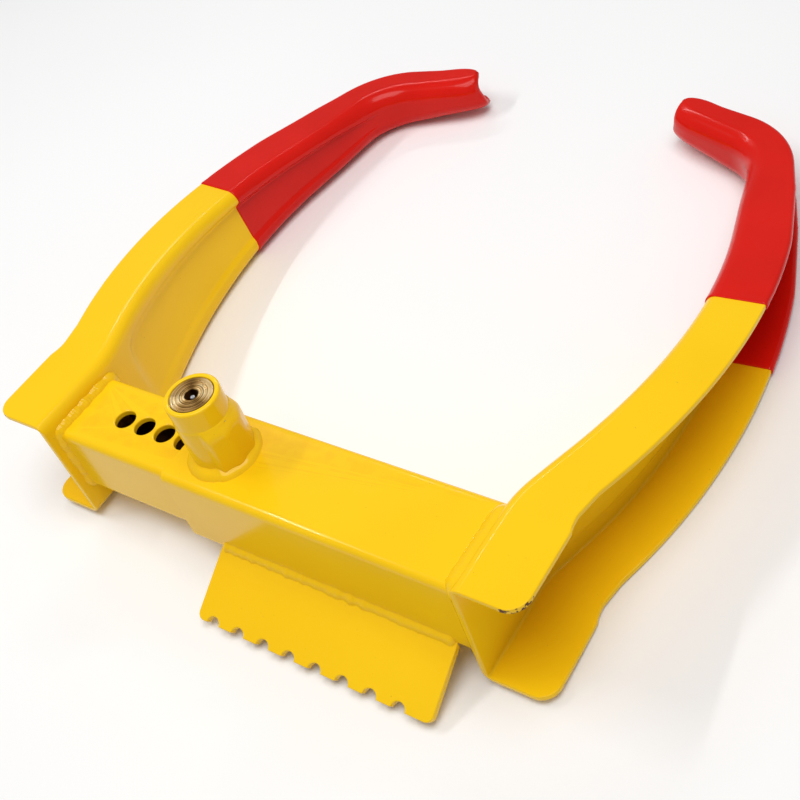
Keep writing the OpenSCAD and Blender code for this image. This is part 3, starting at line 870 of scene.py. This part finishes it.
def chock_plate():
    slope_out = Vector((0, -cos(PLATE_SLOPE), -sin(PLATE_SLOPE)))
    up = Vector((0, -sin(PLATE_SLOPE), cos(PLATE_SLOPE)))
    corner = Vector((PLATE_RIGHT_X - PLATE_LEN, -OUTER_TUBE / 2, PLATE_TOP_Z))
    points = []
    for drop in (0, PLATE_T):
        for along, rise in plate_outline():
            out = PLATE_DEPTH - rise
            if out == 0:
                out = drop * math.tan(math.radians(PLATE_SLOPE))
            points.append(corner + Vector((along, 0, 0)) + slope_out * out - up * drop)
    count = len(points) // 2
    faces = [tuple(range(count)), tuple(range(2 * count - 1, count - 1, -1))]
    faces += [(i, (i + 1) % count, count + (i + 1) % count, count + i) for i in range(count)]
    plate = piece("chock_plate_toothed", "fixed_side", "yellow_paint", ["chock_plate"], points, faces)
    bm = bmesh.new()
    bm.from_mesh(plate.data)
    sharp = [e for e in bm.edges if e.calc_face_angle(0) > math.radians(SHARP_FROM)]
    bmesh.ops.bevel(bm, geom=sharp, offset=PLATE_EDGE * MM, segments=3, profile=0.5, affect="EDGES",
                    clamp_overlap=True)
    bm.to_mesh(plate.data)
    bm.free()
    plate.data.shade_smooth()
    even_normals(plate)


# ---- lock barrel ----------------------------------------------------------------------------


def boss_facets(angle):
    """How far the sharp-cornered boss reaches from the axis, at an angle about it."""
    for first, last in zip(BOSS_ANGLES, BOSS_ANGLES[1:]):
        if first <= angle <= last:
            return BOSS_R * cos((last - first) / 2) / cos(angle - (first + last) / 2)
    past = max(BOSS_ANGLES[0] - angle, angle - BOSS_ANGLES[-1])
    return BOSS_R - (BOSS_R - BARREL_R) * smooth(past / BOSS_FADE)


def boss_reach(angle):
    """The same with its corners rounded."""
    return sum(boss_facets(angle + turn) for turn in BOSS_ROUNDING) / len(BOSS_ROUNDING)


def soft_max(a, b, k):
    """The larger of two numbers, eased where they are less than k apart."""
    h = max(0.0, k - abs(a - b)) / k
    return max(a, b) + h * h * k / 4


def barrel_radius(angle, z):
    """The barrel's outside, with the boss fading out through its chamfer."""
    chamfer = (BOSS_TOP - z) / BOSS_CHAMFER
    cone = BARREL_R + (BOSS_R + 1 - BARREL_R) * min(1.0, chamfer) if chamfer > 0 else 0.0
    reach = -soft_max(-boss_reach(angle), -cone, BOSS_TOP_BLEND)
    return soft_max(BARREL_R, reach, BOSS_SIDE_BLEND) if reach > BARREL_R - BOSS_SIDE_BLEND else BARREL_R


def lock_barrel():
    rim, mouth = BARREL_RIM, BARREL_MOUTH
    rows = [(0.0, z) for z in spread(TUBE_TOP, BOSS_TOP - BOSS_CHAMFER - 3, 14)]
    rows += [(0.0, z) for z in spread(BOSS_TOP - BOSS_CHAMFER - 2.5, BOSS_TOP + 3, 24)]
    rows += [(0.0, z) for z in spread(BOSS_TOP + 4, BARREL_TOP - rim, 4)]
    rows += [(rim * (1 - cos(a)), BARREL_TOP - rim * (1 - sin(a)))
             for a in (15, 30, 45, 60, 75, 90)]
    points = []
    for inset, z in rows:
        for i in range(ROUND_STEPS):
            angle = 360 * i / ROUND_STEPS - 180
            r = barrel_radius(angle, z) - inset
            points.append((BARREL_X + r * cos(angle), r * sin(angle), z))
    bore = [(BARREL_BORE + mouth * (1 - sin(a)), BARREL_TOP - mouth * (1 - cos(a)))
            for a in ROUND_ANGLES]
    bore += [(BARREL_BORE, TUBE_TOP)]
    for r, z in bore:
        for i in range(ROUND_STEPS):
            angle = 360 * i / ROUND_STEPS - 180
            points.append((BARREL_X + r * cos(angle), r * sin(angle), z))
    faces = ring_faces(ROUND_STEPS, len(rows) + len(bore), closed=True)
    barrel = piece("lock_barrel_body", "fixed_side", "yellow_paint", ["lock_barrel"], points, faces)
    even_normals(barrel)


def barrel_weld():
    """A smooth ring of weld round the barrel's foot, thinner round its boss."""
    stations = []
    widest, reach = 4.6, 20.2
    for i in range(ROUND_STEPS):
        angle = 360 * i / ROUND_STEPS - 180
        way = Vector((cos(angle), sin(angle), 0))
        foot = barrel_radius(angle, TUBE_TOP)
        width = min(widest, reach - foot)
        stations.append((Vector((BARREL_X, 0, TUBE_TOP)) + way * foot, way, Vector((0, 0, 1)), width))
    points, faces = bead(stations, 6.4, ripple=0.005, lumps=0.1, closed=True)
    piece("lock_barrel_bead", "fixed_side", "yellow_paint", ["lock_barrel_weld"], points, faces)


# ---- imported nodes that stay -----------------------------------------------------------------


def dress_packed_nodes():
    """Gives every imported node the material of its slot."""
    for part in frame["record"]["subparts"]:
        node = frame["nodes"][part["node"]]
        node.data.materials.clear()
        node.data.materials.append(MATERIALS[part["material_slot"]])


# ---- studio ---------------------------------------------------------------------------------


def floor():
    bm = bmesh.new()
    bmesh.ops.create_grid(bm, x_segments=8, y_segments=8, size=3.0)
    mesh = bpy.data.meshes.new("floor")
    bm.to_mesh(mesh)
    bm.free()
    mesh.materials.append(pale_floor())
    plane = bpy.data.objects.new("floor", mesh)
    bpy.context.scene.collection.objects.link(plane)


def area_light(name, at, aim, size, power):
    light = bpy.data.lights.new(name, "AREA")
    light.shape = "RECTANGLE"
    light.size, light.size_y = size
    light.energy = power
    lamp = bpy.data.objects.new(name, light)
    lamp.location = at
    lamp.rotation_euler = (Vector(aim) - Vector(at)).to_track_quat("-Z", "Y").to_euler()
    bpy.context.scene.collection.objects.link(lamp)


def studio():
    world = bpy.data.worlds.new("studio")
    world.use_nodes = True
    background = world.node_tree.nodes["Background"]
    background.inputs["Color"].default_value = (1, 1, 1, 1)
    background.inputs["Strength"].default_value = 0.32
    bpy.context.scene.world = world
    bpy.context.scene.view_settings.view_transform = "Standard"
    area_light("softbox", (0.3, -0.15, 1.5), (0, 0, 0), (1.1, 0.9), 14.5)
    area_light("strip", (-0.71, -0.22, 1.12), (-0.05, -0.1, 0.05), (0.5, 0.03), 3.5)
    area_light("back_strip", (-0.66, 0.66, 0.86), (-0.04, -0.13, 0.1), (0.5, 0.04), 1.2)


def camera():
    data = bpy.data.cameras.new("camera")
    data.lens = 56.2
    data.shift_x = -0.039
    data.shift_y = -0.026
    eye = bpy.data.objects.new("camera", data)
    eye.location = (0.3721, -0.3217, 0.5147)
    eye.rotation_euler = [math.radians(a) for a in (39.57, 16.92, 30.90)]
    bpy.context.scene.collection.objects.link(eye)
    bpy.context.scene.camera = eye


camera()
floor()
studio()
dress_packed_nodes()
tubes()
arms()
welds()
chock_plate()
lock_barrel()
barrel_weld()

bpy.context.view_layer.update()
